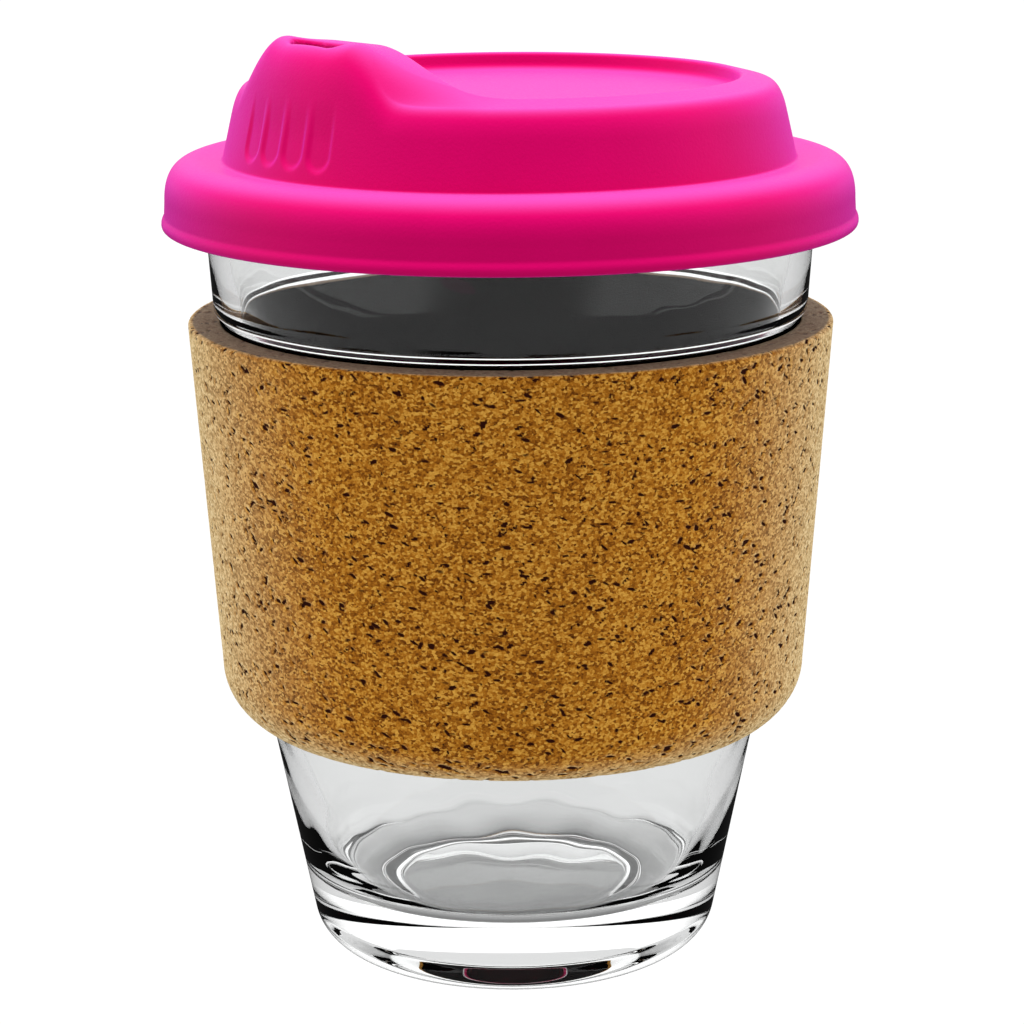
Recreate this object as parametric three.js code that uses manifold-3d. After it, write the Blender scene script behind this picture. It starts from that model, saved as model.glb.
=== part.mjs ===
// A reusable drinking cup: a tapered glass with a thick base, a cork band round its waist
// and a push-on silicone lid with a raised, fluted sip spout.
// Millimetres, +Z up. The origin is the centre of the foot, on the surface the cup stands on.
// The spout points to -Y. Profiles are drawn as radius against height and turned round Z.

import * as THREE from 'three';
import { mergeVertices } from 'three/addons/utils/BufferGeometryUtils.js';
import Module from 'manifold-3d';

const degrees = Math.PI / 180;
const GAP = 0.3;               // clearance left between pieces that touch on the real cup
const FACETS = 48;             // flats round the glass and the band

// Glass cup
const FOOT_OUTER = 22.9;       // flat ring the cup stands on
const FOOT_INNER = 21.23;
const PUNT_FLAT = 15.89;       // radius of the shallow dome in the hollow under the base
const PUNT_RISE = 3.11;        // depth of that hollow round its edge
const PUNT_DOME = 0.61;        // how much deeper it is in the middle
const FOOT_CORNER = 5.8;       // rounding between the foot ring and the wall
const LOWER_TAPER = 0.198;     // radius gained per unit of height, below the bend
const UPPER_TAPER = 0.0717;    // the same, under the band
const COLLAR_TAPER = 0.068;    // the same, above the shoulder
const BEND_LOW = 34.4;         // heights between which the wall bends
const BEND_HIGH = 53.1;
const SEAT_RADIUS = 39.5;      // outside of the glass just under the shoulder
const SEAT_HEIGHT = 89.6;
const SHOULDER_STEP = 1.15;    // the shoulder stands out over the band's top edge
const SHOULDER_RISE = 1.9;
const RIM_HEIGHT = 107.3;
const RIM_THICKNESS = 2.9;
const LOW_THICKNESS = 3.68;    // wall thickness below the bend
const BOWL_HEIGHT = 9.37;      // middle of the inside floor above the foot
const BOWL_RADIUS = 23.33;     // radius of the shallow part of the floor
const BOWL_DISH = 1.53;        // how much its edge stands above its middle
const BOWL_TOP = 29.88;        // height where the floor's curve meets the wall
const BOWL_WALL_PULL = 0.49;   // how long that curve follows the wall, as a share of its height
const BOWL_FLOOR_PULL = 0.45;  // how long it follows the floor, as a share of its width
const NECK_BEND = [9, 6];      // below and above the shoulder, where the inside bends to the collar

// Cork band
const BAND_BOTTOM = BEND_LOW;
const BAND_TOP = 89.5;
const BAND_TOP_RADIUS = 44.2;
const BAND_LOWER_ROUND = 8;    // large rounding of the outer lower edge
const BAND_ROUND_START = 41.4; // height where that rounding begins
const BAND_EDGE = 0.5;         // small rounding of the outer top edge

// Silicone lid
const FLANGE_BOTTOM = 102.3;
const FLANGE_TOP = 111.7;
const FLANGE_RADIUS = 46.8;
const FLANGE_CORNER = 3;       // rounding of the flange's top edge
const LIP_RADIUS = 47.3;       // thin lip along the flange's lower edge
const DRUM_BASE = 111.3;       // height where the drum rises from the flange
const DRUM_BASE_RADIUS = 38.9;
const DRUM_TAPER = 0.233;      // radius lost per unit of height
const DRUM_CORNER = 1.6;       // rounding of the drum's outer top edge
const DRUM_TOP = 122.5;        // at the edge of the recess
const DRUM_FALL = 0.25;        // height the drum's top loses per unit of distance outwards
const RECESS_FLOOR = 119.9;
const RECESS_RADIUS = 31.2;
const RECESS_CHORD = 24.7;     // the recess stops at this line in front of the spout
const RECESS_DRAFT = 0.22;
const RECESS_FILLET = 1.0;
const RECESS_EDGE = 0.8;
const DRUM_FOOT_STEP = 0.3;    // the drum's foot widens by this where it meets the flange
const LIP_START = 1.7;         // height above the flange's bottom where the lip swells
const LIP_BEVEL = 0.9;
const LID_WALL = 2.6;
const LID_FIT = 0.35;          // clearance of the lid's groove round the glass rim
const PLUG_BOTTOM = 102.0;
const PLUG_CHAMFER = 0.8;
const PLUG_WIDTH = 2.6;
const POCKET_SET_BACK = 1.5;   // wall left between the recess and the pocket under the spout
const POCKET_ROUND = 1.3;

// Spout
const SPOUT_RISE = 7.0;        // above the drum's top, at its outer edge
const SPOUT_SLOPE = 0.17;      // height lost per unit of distance inwards
const SPOUT_OUTER = 33.5;
const SPOUT_INNER = [4, 25.6]; // half widths of the level top and of the foot, at the recess's edge
const SPOUT_FRONT = [7.8, 16.6]; // the same at the spout's outer face
const SPOUT_SPREAD = [24.7, 33]; // distances forward of the axis where those two apply
const SIP_HOLE_LENGTH = 11.6;
const SIP_HOLE_WIDTH = 4.6;
const SIP_HOLE_RADIUS = 30.6;  // distance of the hole's centre from the axis
const FLUTE_COUNT = 4;
const FLUTE_PITCH = 7.3;       // degrees
const FLUTE_HALF = 2.3;
const FLUTE_DEPTH = 0.3;
const FLUTE_EDGE = 0.9;
const FLUTE_BOTTOM = 112.7;
const FLUTE_FADE = [116.5, 122.4]; // heights between which the flutes run out

// Angles in degrees at which the lid's outline is drawn
const FLUTE_STEPS = [-3.1, -1.9, 0, 1.9, 3.1]; // either side of a flute's middle
const FLANK_ANGLES = [17, 47];
const FLANK_STEP = 3;
const PLAIN_STEP = 7;

// --- shared helpers ---------------------------------------------------------------

function smooth(value) {
  const x = THREE.MathUtils.clamp(value, 0, 1);
  return x * x * (3 - 2 * x);
}

function meshOf(name, geometry, colour, roughness, extra = {}) {
  const material = new THREE.MeshStandardMaterial({ color: colour, roughness, metalness: 0, ...extra });
  const mesh = new THREE.Mesh(geometry, material);
  mesh.name = name;
  return mesh;
}

function turned(path, curveSteps) {
  const geometry = new THREE.LatheGeometry(path.getPoints(curveSteps), FACETS);
  return geometry.rotateX(Math.PI / 2);
}

// --- glass ------------------------------------------------------------------------

// Where a wall of one taper through (r1, h1) meets one of another taper through (r2, h2).
function tapersMeet(r1, h1, taper1, r2, h2, taper2) {
  const height = (r2 - r1 + taper1 * h1 - taper2 * h2) / (taper1 - taper2);
  return new THREE.Vector2(r1 + taper1 * (height - h1), height);
}

const cornerTilt = Math.atan(LOWER_TAPER);
const footWall = new THREE.Vector2(
  FOOT_OUTER + FOOT_CORNER * Math.cos(cornerTilt), FOOT_CORNER * (1 - Math.sin(cornerTilt)));
const lowerRadius = (height) => footWall.x + LOWER_TAPER * (height - footWall.y);
const upperRadius = (height) => SEAT_RADIUS - UPPER_TAPER * (SEAT_HEIGHT - height);
const collarHeight = SEAT_HEIGHT + SHOULDER_RISE;
const collarRadius = (height) => SEAT_RADIUS + SHOULDER_STEP + COLLAR_TAPER * (height - collarHeight);
const rimRound = RIM_THICKNESS / 2;
const rimCentre = RIM_HEIGHT - rimRound;
const rimOuter = collarRadius(rimCentre);
const rimInner = rimOuter - RIM_THICKNESS;

function bendTo(path, offset, upwards) {
  const low = new THREE.Vector2(lowerRadius(BEND_LOW) - offset, BEND_LOW);
  const high = new THREE.Vector2(upperRadius(BEND_HIGH) - offset, BEND_HIGH);
  const knee = tapersMeet(low.x, low.y, LOWER_TAPER, high.x, high.y, UPPER_TAPER);
  const [first, last] = upwards ? [low, high] : [high, low];
  path.lineTo(first.x, first.y);
  path.quadraticCurveTo(knee.x, knee.y, last.x, last.y);
}

function glassCup() {
  const path = new THREE.Path();
  const puntSlope = (PUNT_FLAT + FOOT_INNER) / 2;
  path.moveTo(0, PUNT_RISE + PUNT_DOME);
  path.quadraticCurveTo(PUNT_FLAT / 2, PUNT_RISE + PUNT_DOME, PUNT_FLAT, PUNT_RISE);
  path.bezierCurveTo(puntSlope, PUNT_RISE, puntSlope, 0, FOOT_INNER, 0);
  path.lineTo(FOOT_OUTER, 0);
  path.absarc(FOOT_OUTER, FOOT_CORNER, FOOT_CORNER, -90 * degrees, -cornerTilt);
  bendTo(path, 0, true);
  path.lineTo(SEAT_RADIUS, SEAT_HEIGHT);
  path.bezierCurveTo(
    SEAT_RADIUS, SEAT_HEIGHT + SHOULDER_RISE / 2,
    collarRadius(collarHeight), collarHeight - SHOULDER_RISE / 2,
    collarRadius(collarHeight), collarHeight);
  path.lineTo(rimOuter, rimCentre);
  path.absarc(rimOuter - rimRound, rimCentre, rimRound, 0, 180 * degrees);
  const collarFoot = collarHeight + NECK_BEND[1];
  const neckFoot = collarHeight - NECK_BEND[0];
  path.lineTo(collarRadius(collarFoot) - RIM_THICKNESS, collarFoot);
  path.quadraticCurveTo(
    collarRadius(collarHeight) - RIM_THICKNESS, collarHeight,
    upperRadius(neckFoot) - RIM_THICKNESS, neckFoot);
  bendTo(path, LOW_THICKNESS, false);
  const wall = new THREE.Vector2(lowerRadius(BOWL_TOP) - LOW_THICKNESS, BOWL_TOP);
  const edge = new THREE.Vector2(BOWL_RADIUS, BOWL_HEIGHT + BOWL_DISH);
  const fall = BOWL_WALL_PULL * (wall.y - edge.y);
  const reach = BOWL_FLOOR_PULL * (wall.x - edge.x);
  path.lineTo(wall.x, wall.y);
  path.bezierCurveTo(
    wall.x - fall * LOWER_TAPER, wall.y - fall,
    edge.x + reach, edge.y + reach * 2 * BOWL_DISH / BOWL_RADIUS,
    edge.x, edge.y);
  path.quadraticCurveTo(BOWL_RADIUS / 2, BOWL_HEIGHT, 0, BOWL_HEIGHT);
  return meshOf('glass_cup', turned(path, 6), 0xdfe3e3, 0.04, { transparent: true, opacity: 0.35 });
}

// --- cork band --------------------------------------------------------------------

function corkBand() {
  const bandOuter = (height) => BAND_TOP_RADIUS - UPPER_TAPER * (BAND_TOP - height);
  const roundCentre = bandOuter(BAND_ROUND_START) - BAND_LOWER_ROUND;
  const roundEnd = Math.asin((BAND_ROUND_START - BAND_BOTTOM) / BAND_LOWER_ROUND);
  const path = new THREE.Path();
  path.moveTo(lowerRadius(BAND_BOTTOM) + GAP, BAND_BOTTOM);
  path.lineTo(roundCentre + BAND_LOWER_ROUND * Math.cos(roundEnd), BAND_BOTTOM);
  path.absarc(roundCentre, BAND_ROUND_START, BAND_LOWER_ROUND, -roundEnd, 0);
  path.lineTo(bandOuter(BAND_TOP - BAND_EDGE), BAND_TOP - BAND_EDGE);
  path.lineTo(BAND_TOP_RADIUS - BAND_EDGE, BAND_TOP);
  path.lineTo(upperRadius(BAND_TOP) + GAP, BAND_TOP);
  bendTo(path, -GAP, false);
  return meshOf('cork_band', turned(path, 5), 0xa9712f, 0.92);
}

// --- silicone lid -----------------------------------------------------------------

// How far the spout lifts the lid's top, at a distance forward of the axis and to one side.
function spoutLift(forward, aside) {
  if (forward <= 0) return 0;
  const share = smooth((forward - SPOUT_SPREAD[0]) / (SPOUT_SPREAD[1] - SPOUT_SPREAD[0]));
  const flat = THREE.MathUtils.lerp(SPOUT_INNER[0], SPOUT_FRONT[0], share);
  const foot = THREE.MathUtils.lerp(SPOUT_INNER[1], SPOUT_FRONT[1], share);
  const across = 1 - smooth((Math.abs(aside) - flat) / (foot - flat));
  return across * (SPOUT_RISE + SPOUT_SLOPE * (forward - SPOUT_OUTER));
}

function topHeight(radius, angle) {
  const lift = spoutLift(radius * Math.cos(angle), radius * Math.sin(angle));
  const level = 1 - Math.min(1, lift / SPOUT_RISE);
  return DRUM_TOP + lift - DRUM_FALL * level * Math.max(0, radius - RECESS_RADIUS);
}

// The recess is round, with its front cut off along a chord; the two are blended.
function recessRadius(angle) {
  const forward = Math.cos(angle);
  if (forward <= 0.3) return RECESS_RADIUS;
  const chord = RECESS_CHORD / forward;
  const sharpness = 24;
  return (RECESS_RADIUS ** -sharpness + chord ** -sharpness) ** (-1 / sharpness);
}

function fluteDepth(angle, height) {
  const middle = (FLUTE_COUNT - 1) / 2;
  const place = Math.round(angle / degrees / FLUTE_PITCH + middle);
  const nearest = THREE.MathUtils.clamp(place, 0, FLUTE_COUNT - 1);
  const aside = (angle - (nearest - middle) * FLUTE_PITCH * degrees) * drumRadius(height);
  const below = Math.max(0, FLUTE_BOTTOM + FLUTE_HALF - height);
  const across = smooth((FLUTE_HALF - Math.hypot(aside, below)) / FLUTE_EDGE);
  return FLUTE_DEPTH * across * (1 - smooth((height - FLUTE_FADE[0]) / (FLUTE_FADE[1] - FLUTE_FADE[0])));
}

function drumRadius(height) {
  return DRUM_BASE_RADIUS - DRUM_TAPER * (height - DRUM_BASE);
}

function arcPoints(centreRadius, centreHeight, size, from, to, steps) {
  return Array.from({ length: steps + 1 }, (_, i) => {
    const turn = (from + (to - from) * i / steps) * degrees;
    return [centreRadius + size * Math.cos(turn), centreHeight + size * Math.sin(turn)];
  });
}

// The lid's outline at one angle from the spout, from the middle of the recess over the top,
// down the outside, under the flange, over the glass rim's groove and back inside.
function lidOutline(angle) {
  const recess = recessRadius(angle);
  const recessTop = topHeight(recess, angle);
  const wallFoot = recess - RECESS_DRAFT * (recessTop - RECESS_FLOOR);
  const outline = [[wallFoot / 2, RECESS_FLOOR]];
  outline.push([wallFoot - RECESS_FILLET, RECESS_FLOOR]);
  outline.push([wallFoot - RECESS_FILLET * 0.3, RECESS_FLOOR + RECESS_FILLET * 0.3]);
  outline.push([wallFoot + RECESS_DRAFT * RECESS_FILLET, RECESS_FLOOR + RECESS_FILLET]);
  outline.push([recess - RECESS_DRAFT * RECESS_EDGE, recessTop - RECESS_EDGE]);
  outline.push([recess + RECESS_EDGE * 0.25, recessTop - RECESS_EDGE * 0.25]);
  const drumEdge = topHeight(drumRadius(DRUM_TOP), angle) - DRUM_CORNER;
  const edgeCentre = drumRadius(drumEdge) - DRUM_CORNER;
  for (const share of [0, 0.33, 0.67, 1]) {
    const radius = THREE.MathUtils.lerp(recess + RECESS_EDGE, edgeCentre, share);
    outline.push([radius, topHeight(radius, angle)]);
  }
  const edgeTop = topHeight(edgeCentre, angle);
  for (const turn of [65, 40, 12]) {
    const rise = DRUM_CORNER * Math.sin(turn * degrees);
    const blend = THREE.MathUtils.lerp(drumEdge + DRUM_CORNER, edgeTop, turn / 90);
    outline.push([edgeCentre + DRUM_CORNER * Math.cos(turn * degrees), blend - DRUM_CORNER + rise]);
  }
  for (const share of [0.15, 0.35, 0.6, 0.8, 0.87, 0.94]) {
    const height = THREE.MathUtils.lerp(drumEdge, DRUM_BASE, share);
    outline.push([drumRadius(height) - fluteDepth(angle, height), height]);
  }
  outline.push([DRUM_BASE_RADIUS + DRUM_FOOT_STEP, DRUM_BASE]);
  outline.push(...arcPoints(
    FLANGE_RADIUS - FLANGE_CORNER, FLANGE_TOP - FLANGE_CORNER, FLANGE_CORNER, 90, 0, 3));
  outline.push([FLANGE_RADIUS + (LIP_RADIUS - FLANGE_RADIUS) / 2, FLANGE_BOTTOM + LIP_START]);
  outline.push([LIP_RADIUS, FLANGE_BOTTOM + LIP_BEVEL]);
  outline.push([LIP_RADIUS - LIP_BEVEL / 4, FLANGE_BOTTOM + LIP_BEVEL / 3]);
  outline.push([LIP_RADIUS - LIP_BEVEL, FLANGE_BOTTOM]);
  outline.push(...lidInside(angle));
  return outline;
}

function lidInside(angle) {
  const skirtInner = rimOuter + LID_FIT;
  const grooveRoof = RIM_HEIGHT + LID_FIT;
  const plugOuter = rimInner - 2 * LID_FIT;
  const plugInner = plugOuter - PLUG_WIDTH;
  const ceiling = RECESS_FLOOR - LID_WALL;
  const drumInner = (height) => drumRadius(height) - LID_WALL;
  const pocketInner = recessRadius(angle) + POCKET_SET_BACK;
  const outer = drumInner(DRUM_TOP);
  const lift = spoutLift(outer * Math.cos(angle), outer * Math.sin(angle));
  const share = lift / SPOUT_RISE;
  const pocketTop = THREE.MathUtils.lerp(ceiling, DRUM_TOP + lift - LID_WALL, Math.min(1, share));
  const innerLift = topHeight(pocketInner, angle) - LID_WALL;
  const pocketBack = THREE.MathUtils.lerp(ceiling, innerLift, Math.min(1, share));
  return [
    [skirtInner + PLUG_CHAMFER, FLANGE_BOTTOM],
    [skirtInner, FLANGE_BOTTOM + PLUG_CHAMFER],
    [skirtInner, grooveRoof],
    [plugOuter, grooveRoof],
    [plugOuter, PLUG_BOTTOM + PLUG_CHAMFER],
    [plugOuter - PLUG_CHAMFER, PLUG_BOTTOM],
    [plugInner + PLUG_CHAMFER, PLUG_BOTTOM],
    [plugInner, PLUG_BOTTOM + PLUG_CHAMFER],
    [plugInner, DRUM_BASE - POCKET_ROUND],
    [drumInner(ceiling) - POCKET_ROUND / 4, ceiling - POCKET_ROUND],
    [drumInner(pocketTop) - POCKET_ROUND / 3, pocketTop - POCKET_ROUND / 4],
    [drumInner(pocketTop) - POCKET_ROUND, pocketTop],
    [pocketInner + POCKET_ROUND / 6, pocketBack],
    [pocketInner - POCKET_ROUND / 3, ceiling],
    [pocketInner / 2, ceiling],
  ];
}

// Angles round the lid, measured from the spout: close together across the flutes and flanks.
function lidAngles() {
  const half = [0];
  for (let flute = 0.5; flute < FLUTE_COUNT / 2; flute += 1) {
    for (const step of FLUTE_STEPS) half.push(flute * FLUTE_PITCH + step);
  }
  for (let angle = FLANK_ANGLES[0]; angle < FLANK_ANGLES[1]; angle += FLANK_STEP) half.push(angle);
  for (let angle = FLANK_ANGLES[1]; angle < 180; angle += PLAIN_STEP) half.push(angle);
  return [...half, 180, ...half.slice(1).reverse().map((angle) => 360 - angle)];
}

function sweptLid() {
  const outlines = lidAngles().map((angle) => ({ angle, outline: lidOutline(angle * degrees) }));
  const columns = outlines.length;
  const rows = outlines[0].outline.length;
  const positions = [0, 0, RECESS_FLOOR, 0, 0, RECESS_FLOOR - LID_WALL];
  for (const { angle, outline } of outlines) {
    const turn = (angle - 90) * degrees;
    for (const [radius, height] of outline) {
      positions.push(radius * Math.cos(turn), radius * Math.sin(turn), height);
    }
  }
  const indices = [];
  const vertex = (column, row) => 2 + (column % columns) * rows + row;
  for (let column = 0; column < columns; column += 1) {
    indices.push(0, vertex(column, 0), vertex(column + 1, 0));
    for (let row = 0; row + 1 < rows; row += 1) {
      const [a, b] = [vertex(column, row), vertex(column, row + 1)];
      const [c, d] = [vertex(column + 1, row), vertex(column + 1, row + 1)];
      indices.push(a, b, d, a, d, c);
    }
    indices.push(1, vertex(column + 1, rows - 1), vertex(column, rows - 1));
  }
  const geometry = new THREE.BufferGeometry();
  geometry.setAttribute('position', new THREE.Float32BufferAttribute(positions, 3));
  geometry.setIndex(indices);
  return geometry;
}

function sipHoleCutter() {
  const half = SIP_HOLE_LENGTH / 2 - SIP_HOLE_WIDTH / 2;
  const shape = new THREE.Shape();
  shape.absarc(half, 0, SIP_HOLE_WIDTH / 2, -90 * degrees, 90 * degrees);
  shape.absarc(-half, 0, SIP_HOLE_WIDTH / 2, 90 * degrees, 270 * degrees);
  const depth = SPOUT_RISE * 2;
  const geometry = new THREE.ExtrudeGeometry(shape, { depth, bevelEnabled: false, curveSegments: 5 });
  return geometry.translate(0, -SIP_HOLE_RADIUS, RECESS_FLOOR);
}

function subtracted(wasm, geometry, cutter) {
  const solid = (source) => {
    const bare = source.clone();
    bare.deleteAttribute('normal');
    bare.deleteAttribute('uv');
    const merged = mergeVertices(bare, 1e-5);
    return new wasm.Manifold(new wasm.Mesh({
      numProp: 3,
      vertProperties: new Float32Array(merged.attributes.position.array),
      triVerts: new Uint32Array(merged.index.array),
    }));
  };
  const mesh = solid(geometry).subtract(solid(cutter)).getMesh();
  const result = new THREE.BufferGeometry();
  result.setAttribute('position', new THREE.BufferAttribute(new Float32Array(mesh.vertProperties), 3));
  result.setIndex(new THREE.BufferAttribute(new Uint32Array(mesh.triVerts), 1));
  result.computeVertexNormals();
  return result;
}

const wasm = await Module();
wasm.setup();

function siliconeLid() {
  return meshOf('silicone_lid', subtracted(wasm, sweptLid(), sipHoleCutter()), 0xe6007e, 0.6);
}

const cup = new THREE.Group();
cup.name = 'travel_cup';
cup.add(glassCup(), corkBand(), siliconeLid());

export default cup;
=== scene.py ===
"""Looks for a glass cup with a cork band and a silicone lid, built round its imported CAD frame.

Sizes are in millimetres and turned into metres where a mesh is made. The spout points to -Y.
"""
import math

import bpy
import numpy as np
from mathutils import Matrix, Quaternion, Vector

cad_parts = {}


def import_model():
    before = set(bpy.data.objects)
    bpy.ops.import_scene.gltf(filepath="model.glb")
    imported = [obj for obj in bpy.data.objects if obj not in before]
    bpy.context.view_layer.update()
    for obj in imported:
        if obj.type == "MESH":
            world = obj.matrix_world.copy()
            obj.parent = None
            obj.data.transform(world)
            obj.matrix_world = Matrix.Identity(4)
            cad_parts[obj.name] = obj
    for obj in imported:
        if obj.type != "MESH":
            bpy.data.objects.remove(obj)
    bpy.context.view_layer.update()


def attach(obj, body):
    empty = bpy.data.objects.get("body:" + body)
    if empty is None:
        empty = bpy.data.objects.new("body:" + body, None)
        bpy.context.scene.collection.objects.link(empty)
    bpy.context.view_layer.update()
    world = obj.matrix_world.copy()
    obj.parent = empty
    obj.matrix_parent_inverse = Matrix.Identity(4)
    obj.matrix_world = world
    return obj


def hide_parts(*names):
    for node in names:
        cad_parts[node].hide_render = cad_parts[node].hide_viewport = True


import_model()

MM = 0.001


# --- driving dimensions, millimetres ------------------------------------------------

# glass: the ring it stands on and the hollow under it
FOOT_OUTER, FOOT_INNER, FOOT_CORNER = 22.9, 21.23, 5.8
PUNT_FLAT, PUNT_RISE, PUNT_DOME = 15.89, 3.11, 0.61

# glass: the outside, with each taper as growth of radius per unit of height
LOWER_TAPER, UPPER_TAPER, COLLAR_TAPER = 0.198, 0.0717, 0.068
BEND_LOW, BEND_HIGH = 34.4, 53.1              # heights where the wall starts and ends its bend
SEAT_RADIUS, SEAT_HEIGHT = 39.5, 89.6         # the top of the band's seat
SHOULDER_STEP, SHOULDER_RISE = 1.15, 1.9
RIM_HEIGHT, RIM_THICKNESS = 107.3, 2.9

# glass: the inside
LOW_THICKNESS = 3.68                          # of the wall below the bend
NECK_ABOVE, NECK_BELOW = 6, 9                 # reach of the inside bend on each side of the shoulder
BOWL_HEIGHT, BOWL_DISH, BOWL_RADIUS, BOWL_TOP = 9.37, 1.53, 23.33, 29.88
BOWL_WALL_PULL, BOWL_FLOOR_PULL = 0.49, 0.45  # how long the bowl's corner follows the wall and the floor

# glass: the waviness of its inside
RIPPLE_WAVES, RIPPLE_SIZE = 14, 0.05
RIPPLES_AROUND, RIPPLE_LENGTH = (3, 22), (7, 26)
RIPPLE_FADE_LOW, RIPPLE_FADE_HIGH, RIPPLE_FREE_RIM = 8, 10, 3
GLASS_COLUMNS = 288

# cork
GAP = 0.3                                     # clearance round the glass
BAND_BOTTOM, BAND_TOP, BAND_TOP_RADIUS = 34.4, 89.5, 44.2
BAND_LOWER_ROUND, BAND_ROUND_START, BAND_EDGE = 8.0, 41.4, 0.5
PIT_COUNT, PIT_DEPTH, PIT_TILT = 3400, 0.22, 0.5
PIT_LENGTH, PIT_WIDTH, PIT_STRENGTH = (0.3, 0.85), (0.16, 0.34), (0.5, 1.0)
PIT_SOFT_EDGE, PIT_MARGIN, PIT_COLUMNS = 1.35, 0.4, 5
CORK_ROUGHNESS, CORK_COLUMNS = 0.012, 900

# lid: the flange
FLANGE_BOTTOM, FLANGE_TOP, FLANGE_RADIUS = 102.3, 111.7, 46.8
FLANGE_EDGE_IN, FLANGE_EDGE_DOWN = 4.6, 5.6
LIP_RADIUS, LIP_ROUND_IN, LIP_ROUND_UP = 47.3, 0.9, 0.7
LIP_STEP, LIP_STEP_LOW, LIP_STEP_HIGH = 0.1, 1.5, 2.1

# lid: the drum and the recess in its top
DRUM_BASE, DRUM_BASE_RADIUS, DRUM_BASE_ROUND = 111.3, 38.9, 0.4
DRUM_TAPER, DRUM_TOP, DRUM_FALL = 0.233, 122.5, 0.25
DRUM_EDGE_IN, DRUM_EDGE_DOWN = (1.5, 3.4), (3.4, 6.5)     # where the top is plain, and at the spout
RECESS_FLOOR, RECESS_RADIUS, RECESS_DRAFT = 119.9, 31.2, 0.22
RECESS_CHORD, RECESS_SHARPNESS = 24.7, 24     # the straight side behind the spout and its corners
RECESS_FILLET, RECESS_EDGE = 1.3, 0.7

# lid: the underside
LID_WALL, PLUG_BOTTOM, PLUG_WIDTH = 2.6, 102.0, 2.6
LID_FIT, POCKET_SET_BACK = 0.35, 1.5

# lid: the spout, with each pair of half widths at the recess and at the front
SPOUT_RISE, SPOUT_SLOPE, SPOUT_OUTER = 7.0, 0.17, 33.5
SPOUT_FLAT, SPOUT_FOOT, SPOUT_SPREAD = (4.0, 7.8), (25.6, 16.6), (24.7, 33.0)
HOLE_LENGTH, HOLE_WIDTH, HOLE_RADIUS = 11.6, 4.6, 30.6
HOLE_LIP, HOLE_DISH, HOLE_DISH_REACH = 0.7, 0.35, 3.0
FLUTE_COUNT, FLUTE_PITCH, FLUTE_HALF = 4, 7.3, 2.3
FLUTE_DEPTH, FLUTE_EDGE, FLUTE_BOTTOM, FLUTE_FADE = 0.3, 0.9, 112.7, (116.5, 122.4)


# --- view and light, metres, degrees and watts --------------------------------------

CAMERA_TURN, CAMERA_PITCH, CAMERA_ROLL = 50.5, 13.93, 0.39
CAMERA_AWAY, CAMERA_HEIGHT, CAMERA_LENS, CAMERA_SENSOR = 0.410, 0.1631, 106.24, 36.0
LAMP_HEIGHT, LAMP_SIZE, LAMP_POWER = 1.1, 0.5, 14
FLOOR_RADIUS, FLOOR_DROP, FLOOR_SIDES = 8.0, 0.0001, 96

# strength of the table and the tent for each kind of ray
SEEN = 1.05
# UNDER_CUP and SHADE_SIZE give the painted shadow under the cup: its strength, and the radii where it
# starts to fade and where it is gone
UNDER_CUP, TABLE_THROUGH, TABLE_GLOSS, TABLE_SOFT = 0.20, 0.80, 0.02, 0.78
SHADE_SIZE = (0.019, 0.038)
BACK_THROUGH, BACK_GLOSS = 0.80, 0.6
FRONT_SOFT, SIDE_SOFT, TOP_SOFT = 0.35, 1.6, 1.0
FRONT_DARK = (0.70, 0.92)                     # share of straight ahead where the tent ends and is black


# --- profiles -----------------------------------------------------------------------

def smooth(value):
    x = np.clip(value, 0.0, 1.0)
    return x * x * (3.0 - 2.0 * x)


def line(start, end, steps):
    """Points from start towards end, without the end itself."""
    share = np.linspace(0.0, 1.0, steps + 1)[:-1, None]
    return np.asarray(start) + share * (np.asarray(end, float) - np.asarray(start, float))


def arc(centre, size, first, last, steps):
    """Points on a circle between two angles in degrees, both ends included."""
    turn = np.radians(np.linspace(first, last, steps + 1))
    return np.stack([centre[0] + size * np.cos(turn), centre[1] + size * np.sin(turn)], 1)


def bezier(controls, steps):
    """A Bezier curve through its first and last control points, both included."""
    share = np.linspace(0.0, 1.0, steps + 1)[:, None]
    points = [np.asarray(c, float) * np.ones_like(share) for c in controls]
    while len(points) > 1:
        points = [(1 - share) * a + share * b for a, b in zip(points, points[1:])]
    return points[0]


def rounded(before, corner, after, size, steps):
    """The corner between two straight runs, rounded to a radius; the runs' ends are left to the caller."""
    before, corner, after = (np.asarray(p, float) for p in (before, corner, after))
    one = (before - corner) / np.linalg.norm(before - corner)
    two = (after - corner) / np.linalg.norm(after - corner)
    half = 0.5 * math.acos(max(-1.0, min(1.0, float(one @ two))))
    if half > math.radians(88):
        return corner + np.linspace(size, -size, steps + 1)[:, None] * (one - two) / 2
    middle = (one + two) / np.linalg.norm(one + two)
    centre = corner + middle * size / math.sin(half)
    run = size / math.tan(half)
    start, end = corner + one * run - centre, corner + two * run - centre
    first, last = math.atan2(start[1], start[0]), math.atan2(end[1], end[0])
    if last - first > math.pi:
        last -= 2 * math.pi
    if first - last > math.pi:
        last += 2 * math.pi
    return arc(centre, size, math.degrees(first), math.degrees(last), steps)


# --- meshes -------------------------------------------------------------------------

def piece(name, points, faces, body, node, material):
    """A smooth mesh, in metres from millimetre points, that stands for a CAD node and rides its body."""
    mesh = bpy.data.meshes.new(name)
    mesh.from_pydata((np.asarray(points) * MM).tolist(), [], faces)
    mesh.validate()
    mesh.materials.append(material)
    mesh.polygons.foreach_set("use_smooth", [True] * len(mesh.polygons))
    obj = bpy.data.objects.new(name, mesh)
    bpy.context.scene.collection.objects.link(obj)
    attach(obj, body)
    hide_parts(node)
    return obj


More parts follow.
